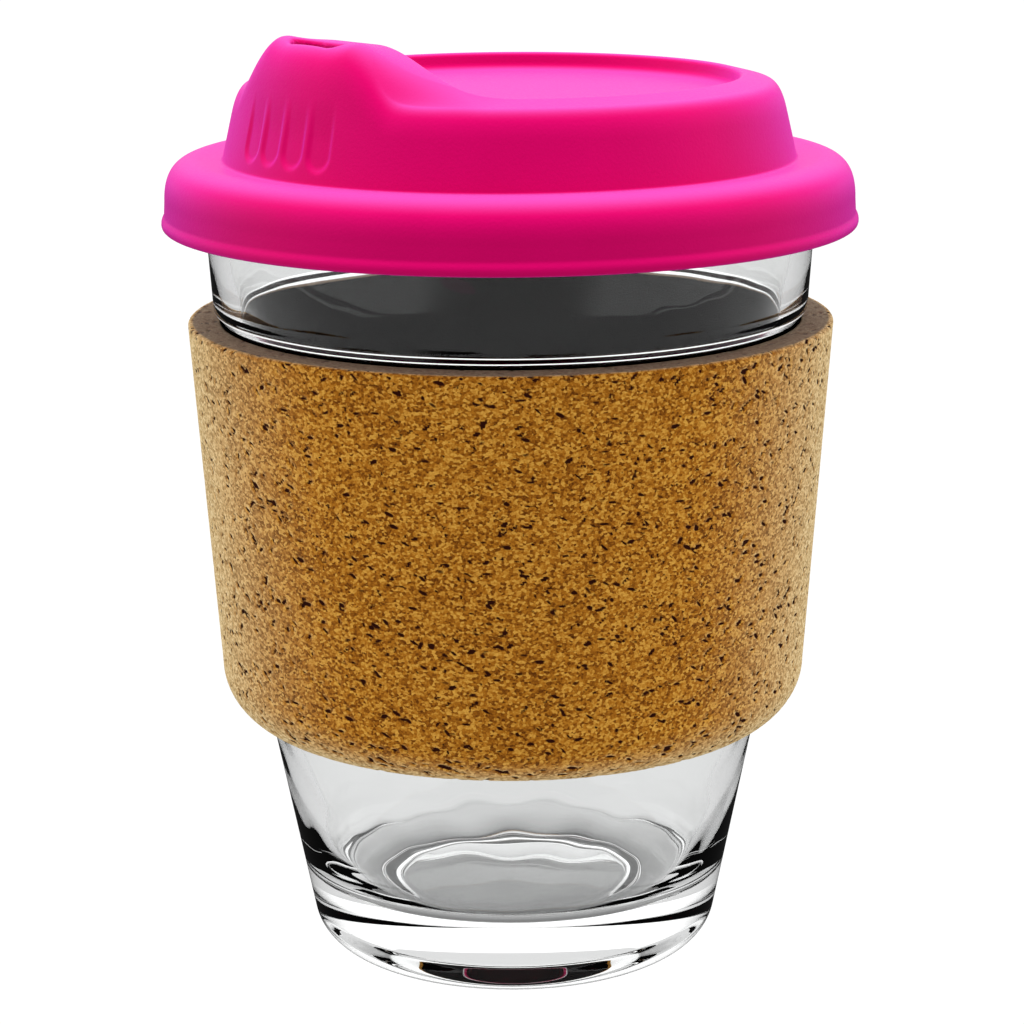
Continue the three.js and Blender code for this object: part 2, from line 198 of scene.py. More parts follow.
def grid_faces(columns, rows, wrap_rows):
    """Quads over a grid whose columns go round the axis."""
    column, row = np.meshgrid(np.arange(columns), np.arange(rows if wrap_rows else rows - 1), indexing="ij")
    after, below = (column + 1) % columns, (row + 1) % rows
    quads = np.stack([
        column * rows + row, column * rows + below, after * rows + below, after * rows + row], -1)
    return quads.reshape(-1, 4).tolist()


def turned(profile, columns):
    """A profile of (radius, height) turned round Z. It starts and ends on the axis."""
    turn = np.linspace(0.0, 2 * math.pi, columns, endpoint=False)
    body = profile[1:-1]
    rows = len(body)
    points = np.stack([
        np.outer(np.cos(turn), body[:, 0]), np.outer(np.sin(turn), body[:, 0]),
        np.tile(body[:, 1], (columns, 1))], -1).reshape(-1, 3)
    faces = grid_faces(columns, rows, False)
    first, last = len(points), len(points) + 1
    points = np.vstack([points, [0, 0, profile[0, 1]], [0, 0, profile[-1, 1]]])
    for column in range(columns):
        after = (column + 1) % columns
        faces.append([first, column * rows, after * rows])
        faces.append([last, after * rows + rows - 1, column * rows + rows - 1])
    return points, [face[::-1] for face in faces]


# --- materials ----------------------------------------------------------------------

class Nodes:
    """A short way to write the node tree of a material or a world."""

    def __init__(self, owner):
        owner.use_nodes = True
        self.owner = owner
        self.tree = owner.node_tree
        self.shader = self.tree.nodes.get("Principled BSDF")

    def add(self, kind, inputs=None, **settings):
        node = self.tree.nodes.new("ShaderNode" + kind)
        for key, value in settings.items():
            setattr(node, key, value)
        for key, value in (inputs or {}).items():
            self.put(node.inputs[key], value)
        return node

    def put(self, socket, value):
        if isinstance(value, bpy.types.NodeSocket):
            self.tree.links.new(value, socket)
        else:
            socket.default_value = value

    def math(self, operation, *values):
        node = self.add("Math", operation=operation)
        for socket, value in zip(node.inputs, values):
            self.put(socket, value)
        return node.outputs[0]

    def mapped(self, value, low, high, to_low=0.0, to_high=1.0):
        inputs = {"Value": value, "From Min": low, "From Max": high, "To Min": to_low, "To Max": to_high}
        return self.add("MapRange", inputs, interpolation_type="SMOOTHSTEP").outputs[0]

    def blend(self, share, one, two):
        node = self.add("Mix", data_type="RGBA", blend_type="MIX")
        self.put(node.inputs[0], share)
        self.put(node.inputs[6], one)
        self.put(node.inputs[7], two)
        return node.outputs[2]

    def ramp(self, value, stops):
        node = self.add("ValToRGB", {"Fac": value})
        elements = node.color_ramp.elements
        while len(elements) < len(stops):
            elements.new(0.5)
        for element, (place, colour) in zip(elements, stops):
            element.position, element.color = place, (*colour, 1.0)
        return node.outputs[0]

    def bump(self, height, distance, strength):
        return self.add("Bump", {"Height": height, "Distance": distance, "Strength": strength}).outputs[0]

    def set(self, **values):
        for key, value in values.items():
            self.put(self.shader.inputs[key.replace("_", " ")], value)


def srgb(red, green, blue):
    """A colour given as screen values from 0 to 255."""
    def linear(value):
        return value / 255 / 12.92 if value <= 10 else ((value / 255 + 0.055) / 1.055) ** 2.4

    return linear(red), linear(green), linear(blue)


def glass_material():
    nodes = Nodes(bpy.data.materials.new("clear_glass"))
    nodes.set(Base_Color=(0.985, 0.992, 0.99, 1), Roughness=0.0, IOR=1.5, Transmission_Weight=1.0)
    return nodes.owner


def cork_material():
    """Granules in browns and ochres with dark flecks and pits; a painted sheen makes them paler towards the
    sides of the view.
    """
    nodes = Nodes(bpy.data.materials.new("pressed_cork"))
    place = nodes.add("TexCoord").outputs["Object"]
    flat = nodes.add("VectorMath", {0: place, 1: (1.0, 1.0, 1.25)}, operation="MULTIPLY").outputs[0]
    grain = nodes.add("TexVoronoi", {"Vector": flat, "Scale": 2500.0, "Randomness": 1.0}, feature="F1")
    fine = nodes.add("TexNoise", {"Vector": flat, "Scale": 3300.0, "Detail": 2.0, "Roughness": 0.5})
    broad = nodes.add("TexNoise", {"Vector": place, "Scale": 90.0, "Detail": 2.0})
    tone = nodes.add("SeparateColor", {"Color": grain.outputs["Color"]}).outputs[0]
    grains, speckle = nodes.math("MULTIPLY", tone, 0.5), nodes.math("MULTIPLY", fine.outputs[0], 0.5)
    cloud = nodes.math("MULTIPLY", nodes.math("SUBTRACT", broad.outputs[0], 0.5), 0.12)
    mixed = nodes.math("ADD", nodes.math("ADD", grains, speckle), cloud)
    colour = nodes.ramp(mixed, [
        (0.22, (0.14, 0.038, 0.002)), (0.36, (0.33, 0.108, 0.006)), (0.52, (0.52, 0.195, 0.014)),
        (0.76, (0.82, 0.42, 0.065))])
    # painted sheen: paler, whiter granule colours used where the surface turns away from the view, in place
    # of light caught at the sides
    pale = nodes.ramp(mixed, [
        (0.22, (0.50, 0.32, 0.12)), (0.50, (0.80, 0.61, 0.30)), (0.76, (0.98, 0.84, 0.52))])
    edge = nodes.add("LayerWeight", {"Blend": 0.5}).outputs["Facing"]
    colour = nodes.blend(nodes.mapped(edge, 0.2, 1.0, 0.0, 0.85), colour, pale)
    pit = nodes.add("Attribute", attribute_name="pit").outputs["Fac"]
    fleck_noise = nodes.add("TexNoise", {"Vector": flat, "Scale": 620.0, "Detail": 3.0, "Roughness": 0.6})
    small = nodes.mapped(fleck_noise.outputs[0], 0.66, 0.72)
    dark = nodes.math("MAXIMUM", nodes.mapped(pit, 0.25, 0.6), small)
    colour = nodes.blend(dark, colour, (*srgb(52, 14, 4), 1))
    # painted shade: the band's inner face, which lies in shade against the glass, is coloured near black
    inside = nodes.add("Attribute", attribute_name="inside").outputs["Fac"]
    colour = nodes.blend(inside, colour, (0.006, 0.006, 0.006, 1))
    cut = nodes.add("Attribute", attribute_name="cut").outputs["Fac"]
    colour = nodes.blend(nodes.math("MULTIPLY", cut, 0.75), colour, (*srgb(140, 130, 118), 1))
    relief = nodes.math("SUBTRACT", mixed, nodes.math("MULTIPLY", small, 0.4))
    nodes.set(Base_Color=colour, Roughness=0.9, Specular_IOR_Level=0.1,
              Normal=nodes.bump(relief, 0.00025, 0.8))
    return nodes.owner


def silicone_material():
    """Magenta with a painted sheen that leans it to blue at grazing angles, and painted light from above
    that makes it paler on upward faces.
    """
    nodes = Nodes(bpy.data.materials.new("matte_silicone"))
    place = nodes.add("TexCoord").outputs["Object"]
    grain = nodes.add("TexNoise", {"Vector": place, "Scale": 2600.0, "Detail": 3.0, "Roughness": 0.6})
    cloud = nodes.add("TexNoise", {"Vector": place, "Scale": 60.0, "Detail": 3.0})
    patches = nodes.mapped(cloud.outputs[0], 0.3, 0.7)
    wall = nodes.blend(patches, (0.60, 0.0, 0.112, 1), (0.63, 0.0, 0.120, 1))
    # painted sheen: the wall colour turns bluer where the surface is seen at a grazing angle
    grazing = nodes.add("LayerWeight", {"Blend": 0.5}).outputs["Facing"]
    wall = nodes.blend(nodes.mapped(grazing, 0.25, 0.9), wall, (0.56, 0.0, 0.22, 1))
    # painted light from above: faces that point up get a paler, pinker colour
    upward = nodes.add("SeparateXYZ", {0: nodes.add("NewGeometry").outputs["Normal"]}).outputs[2]
    colour = nodes.blend(nodes.mapped(upward, 0.45, 1.0), wall, (0.47, 0.040, 0.26, 1))
    rough = nodes.mapped(grain.outputs[0], 0.3, 0.7, 0.38, 0.46)
    nodes.set(
        Base_Color=colour, Roughness=rough, Specular_IOR_Level=0.03, Sheen_Weight=0.25, Sheen_Roughness=0.5,
        Sheen_Tint=(0.75, 0.14, 0.8, 1), Normal=nodes.bump(grain.outputs[0], 0.00006, 0.5))
    return nodes.owner


# --- glass --------------------------------------------------------------------------

CORNER_TILT = math.atan(LOWER_TAPER)
FOOT_WALL = (FOOT_OUTER + FOOT_CORNER * math.cos(CORNER_TILT), FOOT_CORNER * (1 - math.sin(CORNER_TILT)))
COLLAR_HEIGHT = SEAT_HEIGHT + SHOULDER_RISE


def lower_radius(height):
    return FOOT_WALL[0] + LOWER_TAPER * (height - FOOT_WALL[1])


def upper_radius(height):
    return SEAT_RADIUS - UPPER_TAPER * (SEAT_HEIGHT - height)


def collar_radius(height):
    return SEAT_RADIUS + SHOULDER_STEP + COLLAR_TAPER * (height - COLLAR_HEIGHT)


RIM_CENTRE = RIM_HEIGHT - RIM_THICKNESS / 2
RIM_OUTER = collar_radius(RIM_CENTRE)
RIM_INNER = RIM_OUTER - RIM_THICKNESS


def bend(offset, steps):
    """The wall between its two tapers, upwards, moved inwards by offset."""
    low = np.array([lower_radius(BEND_LOW) - offset, BEND_LOW])
    high = np.array([upper_radius(BEND_HIGH) - offset, BEND_HIGH])
    height = (high[0] - low[0] + LOWER_TAPER * low[1] - UPPER_TAPER * high[1]) / (LOWER_TAPER - UPPER_TAPER)
    knee = [low[0] + LOWER_TAPER * (height - low[1]), height]
    return bezier([low, knee, high], steps)


def inner_floor(steps):
    """The bowl inside the base, from the wall down to the middle."""
    wall = np.array([lower_radius(BOWL_TOP) - LOW_THICKNESS, BOWL_TOP])
    edge = np.array([BOWL_RADIUS, BOWL_HEIGHT + BOWL_DISH])
    depth, width = wall[1] - edge[1], wall[0] - edge[0]
    reach = width * BOWL_FLOOR_PULL
    corner = bezier([wall, wall - depth * BOWL_WALL_PULL * np.array([LOWER_TAPER, 1]),
                     edge + reach * np.array([1, 2 * BOWL_DISH / BOWL_RADIUS]), edge], steps)
    across = np.linspace(BOWL_RADIUS, 0, steps // 2 + 1)[1:]
    return [corner, np.stack([across, BOWL_HEIGHT + BOWL_DISH * (across / BOWL_RADIUS) ** 2], 1)]


def glass_cup():
    collar = collar_radius(COLLAR_HEIGHT)
    knee = COLLAR_HEIGHT
    slope = (PUNT_FLAT + FOOT_INNER) / 2
    across = np.linspace(0, PUNT_FLAT, 13)[:-1]
    outer = [
        np.stack([across, PUNT_RISE + PUNT_DOME * (1 - (across / PUNT_FLAT) ** 2)], 1),
        bezier([(PUNT_FLAT, PUNT_RISE), (slope, PUNT_RISE), (slope, 0), (FOOT_INNER, 0)], 20),
        arc((FOOT_OUTER, FOOT_CORNER), FOOT_CORNER, -90, -math.degrees(CORNER_TILT), 28),
        line(FOOT_WALL, bend(0, 2)[0], 20)[1:],
        bend(0, 24),
        line(bend(0, 2)[-1], (SEAT_RADIUS, SEAT_HEIGHT), 20)[1:],
        bezier([(SEAT_RADIUS, SEAT_HEIGHT), (SEAT_RADIUS, SEAT_HEIGHT + SHOULDER_RISE / 2),
                (collar, COLLAR_HEIGHT - SHOULDER_RISE / 2), (collar, COLLAR_HEIGHT)], 24),
        line((collar, COLLAR_HEIGHT), (RIM_OUTER, RIM_CENTRE), 12)[1:],
        arc((RIM_OUTER - RIM_THICKNESS / 2, RIM_CENTRE), RIM_THICKNESS / 2, 0, 180, 20),
    ]
    upper_end = (collar_radius(knee + NECK_ABOVE) - RIM_THICKNESS, knee + NECK_ABOVE)
    lower_end = (upper_radius(knee - NECK_BELOW) - RIM_THICKNESS, knee - NECK_BELOW)
    bowl = inner_floor(60)
    inner = [
        line((RIM_INNER, RIM_CENTRE), upper_end, 8)[1:],
        bezier([upper_end, (collar_radius(knee) - RIM_THICKNESS, knee), lower_end], 20),
        line(lower_end, bend(LOW_THICKNESS, 2)[-1], 16)[1:],
        bend(LOW_THICKNESS, 24)[::-1],
        line(bend(LOW_THICKNESS, 2)[0], bowl[0][0], 6)[1:],
        *bowl,
    ]
    points, faces = turned(np.vstack(outer + inner), GLASS_COLUMNS)
    shell = points[:-2].reshape(GLASS_COLUMNS, -1, 3)
    first = sum(len(part) for part in outer) - 1
    height = shell[0, first:, 2]
    fade = (smooth((height - BOWL_HEIGHT) / RIPPLE_FADE_LOW)
            * smooth((RIM_CENTRE - RIPPLE_FREE_RIM - height) / RIPPLE_FADE_HIGH))
    turn = np.linspace(0, 2 * math.pi, GLASS_COLUMNS, endpoint=False)
    least = 5  # millimetres of radius; nearer the axis the waves die away
    shell[:, first:, :2] *= 1 + (ripples(turn, height) * fade / shell[0, first:, 0].clip(least))[:, :, None]
    piece("glass_cup_body", points, faces, "cup", "glass_cup", glass_material())


def ripples(turn, height):
    """The slight waviness of pressed glass, in millimetres, over a grid of angles and heights."""
    random = np.random.default_rng(11)
    total = np.zeros((len(turn), len(height)))
    for _ in range(RIPPLE_WAVES):
        around, length = random.integers(*RIPPLES_AROUND), random.uniform(*RIPPLE_LENGTH)
        phase, tilt = random.uniform(0, 2 * math.pi, 2)
        upright = np.sin(2 * math.pi * height[None, :] / length + tilt)
        total += np.sin(around * turn[:, None] + phase) * upright
    return total * RIPPLE_SIZE / math.sqrt(RIPPLE_WAVES)


# --- cork ---------------------------------------------------------------------------

def band_outer(height):
    return BAND_TOP_RADIUS - UPPER_TAPER * (BAND_TOP - height)


def band_profile():
    """The band's closed profile, and what each point is on: the outside, the cut top or the inside."""
    outside, cut, inside = range(3)
    centre = (band_outer(BAND_ROUND_START) - BAND_LOWER_ROUND, BAND_ROUND_START)
    round_end = math.degrees(math.asin((BAND_ROUND_START - BAND_BOTTOM) / BAND_LOWER_ROUND))
    bottom = (centre[0] + BAND_LOWER_ROUND * math.cos(math.radians(round_end)), BAND_BOTTOM)
    inner_low = (lower_radius(BAND_BOTTOM) + GAP, BAND_BOTTOM)
    inner_high = (upper_radius(BAND_TOP) + GAP, BAND_TOP)
    edge = rounded((band_outer(BAND_TOP - 3), BAND_TOP - 3), (BAND_TOP_RADIUS, BAND_TOP),
                   (BAND_TOP_RADIUS - 2, BAND_TOP), BAND_EDGE, 4)
    parts = [
        (line(inner_low, bottom, 6), outside),
        (arc(centre, BAND_LOWER_ROUND, -round_end, 0, 34), outside),
        (line((band_outer(BAND_ROUND_START), BAND_ROUND_START), edge[0], 170)[1:], outside),
        (edge, outside),
        (line(edge[-1], inner_high, 14)[1:], cut),
        (line(inner_high, bend(-GAP, 2)[-1], 30), inside),
        (bend(-GAP, 14)[::-1][:-1], inside),
    ]
    kind = np.concatenate([np.full(len(points), kind) for points, kind in parts])
    return np.vstack([points for points, _ in parts]), kind == cut, kind == inside


def cork_pits(random, profile, visible):
    """How deep each point is in one of the small oval pits where granules fell out, from 0 to 1."""
    length = np.concatenate([[0], np.cumsum(np.linalg.norm(np.diff(profile, axis=0), axis=1))])
    pit = np.zeros((CORK_COLUMNS, len(profile)))
    near = np.arange(-PIT_COLUMNS, PIT_COLUMNS + 1)
    for _ in range(PIT_COUNT):
        place, turn = random.uniform(length[0], length[visible][-1]), random.uniform(0, 2 * math.pi)
        long, short = random.uniform(*PIT_LENGTH), random.uniform(*PIT_WIDTH)
        tilt = random.normal(0, PIT_TILT)
        strength = random.uniform(*PIT_STRENGTH)
        rows_near = np.where(np.abs(length - place) < long + PIT_MARGIN)[0]
        columns_near = (int(turn / (2 * math.pi) * CORK_COLUMNS) + near) % CORK_COLUMNS
        across = (near * 2 * math.pi / CORK_COLUMNS * profile[rows_near[0], 0])[:, None]
        along = (length[rows_near] - place)[None, :]
        u = across * math.cos(tilt) + along * math.sin(tilt)
        v = along * math.cos(tilt) - across * math.sin(tilt)
        fall = smooth(PIT_SOFT_EDGE - np.sqrt((u / long) ** 2 + (v / short) ** 2))
        window = np.ix_(columns_near, rows_near)
        pit[window] = np.maximum(pit[window], fall * strength)
    return pit * visible[None, :]


def cork_band():
    profile, cut, inside = band_profile()
    random = np.random.default_rng(7)
    pit = cork_pits(random, profile, ~inside)
    relief = random.normal(0, CORK_ROUGHNESS, pit.shape) * ~inside[None, :]
    depth = pit * PIT_DEPTH + np.abs(relief)
    along = np.roll(profile, -1, 0) - np.roll(profile, 1, 0)
    normal = np.stack([along[:, 1], -along[:, 0]], 1) / np.linalg.norm(along, axis=1)[:, None]
    radius = profile[:, 0][None, :] - depth * normal[:, 0][None, :]
    height = profile[:, 1][None, :] - depth * normal[:, 1][None, :]
    around = np.linspace(0, 2 * math.pi, CORK_COLUMNS, endpoint=False)[:, None]
    points = np.stack([radius * np.cos(around), radius * np.sin(around), height], -1)
    faces = [face[::-1] for face in grid_faces(CORK_COLUMNS, len(profile), True)]
    points = points.reshape(-1, 3)
    obj = piece("cork_band_body", points, faces, "band", "cork_band", cork_material())
    for name, values in (("pit", pit), ("inside", np.tile(inside, (CORK_COLUMNS, 1))),
                         ("cut", np.tile(cut, (CORK_COLUMNS, 1)))):
        attribute = obj.data.attributes.new(name, "FLOAT", "POINT")
        attribute.data.foreach_set("value", values.reshape(-1).astype(np.float32))


# --- lid ----------------------------------------------------------------------------

def spout_lift(forward, aside):
    """How far the spout lifts the lid's top, at a distance forward of the axis and to one side."""
    share = smooth((forward - SPOUT_SPREAD[0]) / (SPOUT_SPREAD[1] - SPOUT_SPREAD[0]))
    flat = SPOUT_FLAT[0] + share * (SPOUT_FLAT[1] - SPOUT_FLAT[0])
    foot = SPOUT_FOOT[0] + share * (SPOUT_FOOT[1] - SPOUT_FOOT[0])
    across = 1 - smooth((np.abs(aside) - flat) / (foot - flat))
    return np.where(forward > 0, across * (SPOUT_RISE + SPOUT_SLOPE * (forward - SPOUT_OUTER)), 0.0)


def hole_distance(forward, aside):
    """Distance outside the sip hole's outline."""
    half = (HOLE_LENGTH - HOLE_WIDTH) / 2
    return np.hypot(np.maximum(np.abs(aside) - half, 0), forward - HOLE_RADIUS) - HOLE_WIDTH / 2


def plain_top(radius, turn):
    """Height of the drum's top and of the spout, without the sip hole's dip."""
    lift = spout_lift(radius * np.cos(turn), radius * np.sin(turn))
    level = 1 - np.minimum(1, lift / SPOUT_RISE)
    return DRUM_TOP + lift - DRUM_FALL * level * np.maximum(0, radius - RECESS_RADIUS)


def top_height(radius, turn):
    """Height of the lid's top with the dip round the sip hole and the hole's rounded lip."""
    forward, aside = radius * np.cos(turn), radius * np.sin(turn)
    away = hole_distance(forward, aside)
    drop = HOLE_LIP - np.sqrt(np.maximum(HOLE_LIP ** 2 - np.clip(HOLE_LIP - away, 0, HOLE_LIP) ** 2, 0))
    dish = HOLE_DISH * (1 - smooth(away / HOLE_DISH_REACH))
    return plain_top(radius, turn) - np.where(forward > 0, drop + dish, 0)


def recess_radius(turn):
    """The recess's radius: a circle cut off straight behind the spout."""
    forward = math.cos(turn)
    chord_out_of_reach = forward <= 0.3
    if chord_out_of_reach:
        return RECESS_RADIUS
    power = -RECESS_SHARPNESS
    return (RECESS_RADIUS ** power + (RECESS_CHORD / forward) ** power) ** (1 / power)


def drum_radius(height):
    return DRUM_BASE_RADIUS - DRUM_TAPER * (height - DRUM_BASE)


def flute_depth(turn, height):
    """How deep the spout's upright flutes are at an angle and a height."""
    middle = (FLUTE_COUNT - 1) / 2
    nearest = min(max(round(math.degrees(turn) / FLUTE_PITCH + middle), 0), FLUTE_COUNT - 1)
    aside = (turn - math.radians((nearest - middle) * FLUTE_PITCH)) * drum_radius(height)
    below = np.maximum(0, FLUTE_BOTTOM + FLUTE_HALF - height)
    across = smooth((FLUTE_HALF - np.hypot(aside, below)) / FLUTE_EDGE)
    return FLUTE_DEPTH * across * (1 - smooth((height - FLUTE_FADE[0]) / (FLUTE_FADE[1] - FLUTE_FADE[0])))


def lid_outline(turn):
    """The lid's outline at one angle from the spout, from the middle of the recess, over the top, down the
    outside, under the flange, over the groove for the glass rim and back inside."""
    def top(radius):
        return float(plain_top(radius, turn))

    recess = recess_radius(turn)
    recess_top = top(recess)
    foot = (recess - RECESS_DRAFT * (recess_top - RECESS_FLOOR), RECESS_FLOOR)
    inner_corner = rounded(foot, (recess, recess_top), (recess + 1, top(recess + 1)), RECESS_EDGE, 8)
    floor_corner = rounded((0, RECESS_FLOOR), foot, (recess, recess_top), RECESS_FILLET, 8)
    corner_height = DRUM_TOP - DRUM_FALL
    for _ in range(6):
        corner_height = top(drum_radius(corner_height))
    corner = (drum_radius(corner_height), corner_height)
    raised = max(0.0, corner_height - DRUM_TOP) / SPOUT_RISE
    ahead = corner[0] - DRUM_EDGE_IN[0] - raised * (DRUM_EDGE_IN[1] - DRUM_EDGE_IN[0])
    wall_height = corner_height - DRUM_EDGE_DOWN[0] - raised * (DRUM_EDGE_DOWN[1] - DRUM_EDGE_DOWN[0])
    wall = (drum_radius(wall_height), wall_height)
    outer_corner = bezier([(ahead, top(ahead)), corner, wall], 20)
    across = np.linspace(inner_corner[-1][0], outer_corner[0][0], 44)[1:-1]
    crown = np.stack([across, top_height(across, turn)], 1)
    for group in (inner_corner, outer_corner):
        group[:, 1] += top_height(group[:, 0], turn) - plain_top(group[:, 0], turn)
    base = rounded(corner, (DRUM_BASE_RADIUS, DRUM_BASE), (DRUM_BASE_RADIUS + 3, DRUM_BASE + 0.2),
                   DRUM_BASE_ROUND, 6)
    side = line(outer_corner[-1], base[0], 44)[1:]
    side[:, 0] -= flute_depth(turn, side[:, 1])
    flange_rim = (FLANGE_RADIUS - FLANGE_EDGE_IN, FLANGE_TOP)
    flange_side = (FLANGE_RADIUS, FLANGE_TOP - FLANGE_EDGE_DOWN)
    step = FLANGE_RADIUS + LIP_STEP
    step_high, step_low = FLANGE_BOTTOM + LIP_STEP_HIGH, FLANGE_BOTTOM + LIP_STEP_LOW
    lip = FLANGE_BOTTOM + LIP_ROUND_UP
    outline = [
        line((foot[0] * 0.12, RECESS_FLOOR), floor_corner[0], 16),
        floor_corner,
        line(floor_corner[-1], inner_corner[0], 10)[1:],
        inner_corner, crown, outer_corner, side, base,
        line(base[-1], flange_rim, 10)[1:],
        bezier([flange_rim, (FLANGE_RADIUS, FLANGE_TOP), flange_side], 22),
        line(flange_side, (step, step_high), 8)[1:],
        bezier([(step, step_high), (step, step_low + 0.1), (LIP_RADIUS, step_low),
                (LIP_RADIUS, lip)], 10)[:-1],
        bezier([(LIP_RADIUS, lip), (LIP_RADIUS, FLANGE_BOTTOM),
                (LIP_RADIUS - LIP_ROUND_IN, FLANGE_BOTTOM)], 8),
        lid_inside(turn, top),
    ]
    return np.vstack(outline)


def lid_inside(turn, top):
    """The lid's underside, inwards from the flange: groove, plug, pocket under the spout and ceiling."""
    skirt = RIM_OUTER + LID_FIT
    roof = RIM_HEIGHT + LID_FIT
    plug_outer = RIM_INNER - GAP - LID_FIT
    plug_inner = plug_outer - PLUG_WIDTH
    ceiling = RECESS_FLOOR - LID_WALL

    def drum_inner(height):
        return drum_radius(height) - LID_WALL

    pocket = recess_radius(turn) + POCKET_SET_BACK
    outer = drum_inner(DRUM_TOP)
    lift = float(spout_lift(outer * math.cos(turn), outer * math.sin(turn)))
    share = min(1.0, lift / SPOUT_RISE)
    pocket_top = ceiling + share * (DRUM_TOP + lift - LID_WALL - ceiling)
    pocket_back = ceiling + share * (top(pocket) - LID_WALL - ceiling)
    corners = [
        ((LIP_RADIUS - 2, FLANGE_BOTTOM), 0), ((skirt, FLANGE_BOTTOM), 0.5), ((skirt, roof), 0.4),
        ((plug_outer, roof), 0.4), ((plug_outer, PLUG_BOTTOM), 0.9), ((plug_inner, PLUG_BOTTOM), 0.7),
        ((plug_inner + 0.1, DRUM_BASE - 1.5), 0.5), ((drum_inner(pocket_top), pocket_top), 0.5),
        ((pocket, pocket_back), 0.3), ((pocket - 0.4, ceiling), 0.15), ((0, ceiling), 0),
    ]
    outline = []
    for (before, _), (corner, size), (after, _) in zip(corners, corners[1:], corners[2:]):
        bent = rounded(before, corner, after, size, 4)
        start = outline[-1][-1] if outline else np.array(corners[0][0], float)
        outline.append(line(start, bent[0], 5)[0 if not outline else 1:])
        outline.append(bent)
    outline.append(line(outline[-1][-1], (2.0, ceiling), 8)[1:])
    outline.append([(2.0, ceiling)])
    return np.vstack(outline)


def lid_turns():
    """Angles round the lid from the spout, close together across the hole, the flutes and the flanks."""
    half = np.concatenate([np.arange(0, 16, 0.25), np.arange(16, 44, 0.5), np.arange(44, 180, 1.0)])
    return np.radians(np.concatenate([half, [180.0], 360 - half[1:][::-1]]))


def silicone_lid():
    turns = lid_turns()
    outlines = [lid_outline(turn if turn <= math.pi else turn - 2 * math.pi) for turn in turns]
    rows = len(outlines[0])
    placed = np.array(outlines)
    points = np.stack([
        placed[:, :, 0] * np.sin(turns)[:, None], -placed[:, :, 0] * np.cos(turns)[:, None],
        placed[:, :, 1]], -1).reshape(-1, 3)
    faces = [face[::-1] for face in grid_faces(len(turns), rows, False)]
    crown, under = len(points), len(points) + 1
    points = np.vstack([points, [0, 0, RECESS_FLOOR], [0, 0, RECESS_FLOOR - LID_WALL]])
    for column in range(len(turns)):
        after = (column + 1) % len(turns)
        faces.append([crown, column * rows, after * rows][::-1])
        faces.append([under, after * rows + rows - 1, column * rows + rows - 1][::-1])
    obj = piece("silicone_lid_body", points, faces, "lid", "silicone_lid", silicone_material())
    cut_hole(obj)


def cut_hole(obj):
    """Cuts the sip hole through the spout's top with an upright oblong prism."""
    half = (HOLE_LENGTH - HOLE_WIDTH) / 2
    ring = np.vstack([arc((half, -HOLE_RADIUS), HOLE_WIDTH / 2, -90, 90, 24),
                      arc((-half, -HOLE_RADIUS), HOLE_WIDTH / 2, 90, 270, 24)]) * MM
    count = len(ring)
    low, high = (RECESS_FLOOR - 1) * MM, (DRUM_TOP + SPOUT_RISE + 4) * MM
    mesh = bpy.data.meshes.new("hole_cutter")
    points = [(*p, low) for p in ring] + [(*p, high) for p in ring]
    faces = [list(range(count))[::-1], list(range(count, 2 * count))]
    faces += [[i, (i + 1) % count, count + (i + 1) % count, count + i] for i in range(count)]
    mesh.from_pydata(points, [], faces)
    cutter = bpy.data.objects.new("hole_cutter", mesh)
    bpy.context.scene.collection.objects.link(cutter)
    cut = obj.modifiers.new("hole", "BOOLEAN")
    cut.operation, cut.solver, cut.object = "DIFFERENCE", "EXACT", cutter
    cut.use_hole_tolerant = False
    bpy.context.view_layer.update()
    result = bpy.data.meshes.new_from_object(obj.evaluated_get(bpy.context.evaluated_depsgraph_get()))
    obj.modifiers.clear()
    old = obj.data
    obj.data = result
    result.name = old.name
    bpy.data.meshes.remove(old)
    bpy.data.objects.remove(cutter)
    bpy.data.meshes.remove(mesh)
    result.polygons.foreach_set("use_smooth", [True] * len(result.polygons))
    result.set_sharp_from_angle(angle=math.radians(50))


# --- studio -------------------------------------------------------------------------

def camera():
    """The view: from a little above, with the spout to the left."""
    turn, pitch = math.radians(CAMERA_TURN), math.radians(CAMERA_PITCH)
    data = bpy.data.cameras.new("camera")
    data.lens, data.sensor_width = CAMERA_LENS, CAMERA_SENSOR
    data.clip_start = 0.01
    obj = bpy.data.objects.new("camera", data)
    obj.location = (CAMERA_AWAY * math.sin(turn), -CAMERA_AWAY * math.cos(turn), CAMERA_HEIGHT)
    look = Vector((-math.sin(turn) * math.cos(pitch), math.cos(turn) * math.cos(pitch), -math.sin(pitch)))
    lean = Quaternion((0.0, 0.0, 1.0), -math.radians(CAMERA_ROLL))
    obj.rotation_euler = (look.to_track_quat("-Z", "Y") @ lean).to_euler()
    bpy.context.scene.collection.objects.link(obj)
    bpy.context.scene.camera = obj
    return turn


def overhead_lamp():
    """A square lamp straight above that shines down and isn't seen in the cup."""
    data = bpy.data.lights.new("overhead", "AREA")
    data.shape, data.size, data.size_y = "RECTANGLE", LAMP_SIZE, LAMP_SIZE
    data.energy = LAMP_POWER
    obj = bpy.data.objects.new("overhead", data)
    obj.location = (0, 0, LAMP_HEIGHT)
    obj.visible_glossy = obj.visible_transmission = obj.visible_camera = False
    bpy.context.scene.collection.objects.link(obj)


def ray_kinds(nodes):
    """What a ray is: seen by the camera, seen through glass, seen in a reflection, or bounced softly."""
    path = nodes.add("LightPath")
    direct = nodes.math("LESS_THAN", path.outputs["Diffuse Depth"], 0.5)
    through = nodes.math("MULTIPLY", path.outputs["Is Transmission Ray"], direct)
    glossy = nodes.math("MULTIPLY", path.outputs["Is Glossy Ray"], direct)
    return path.outputs["Is Camera Ray"], through, glossy, path.outputs["Is Diffuse Ray"]


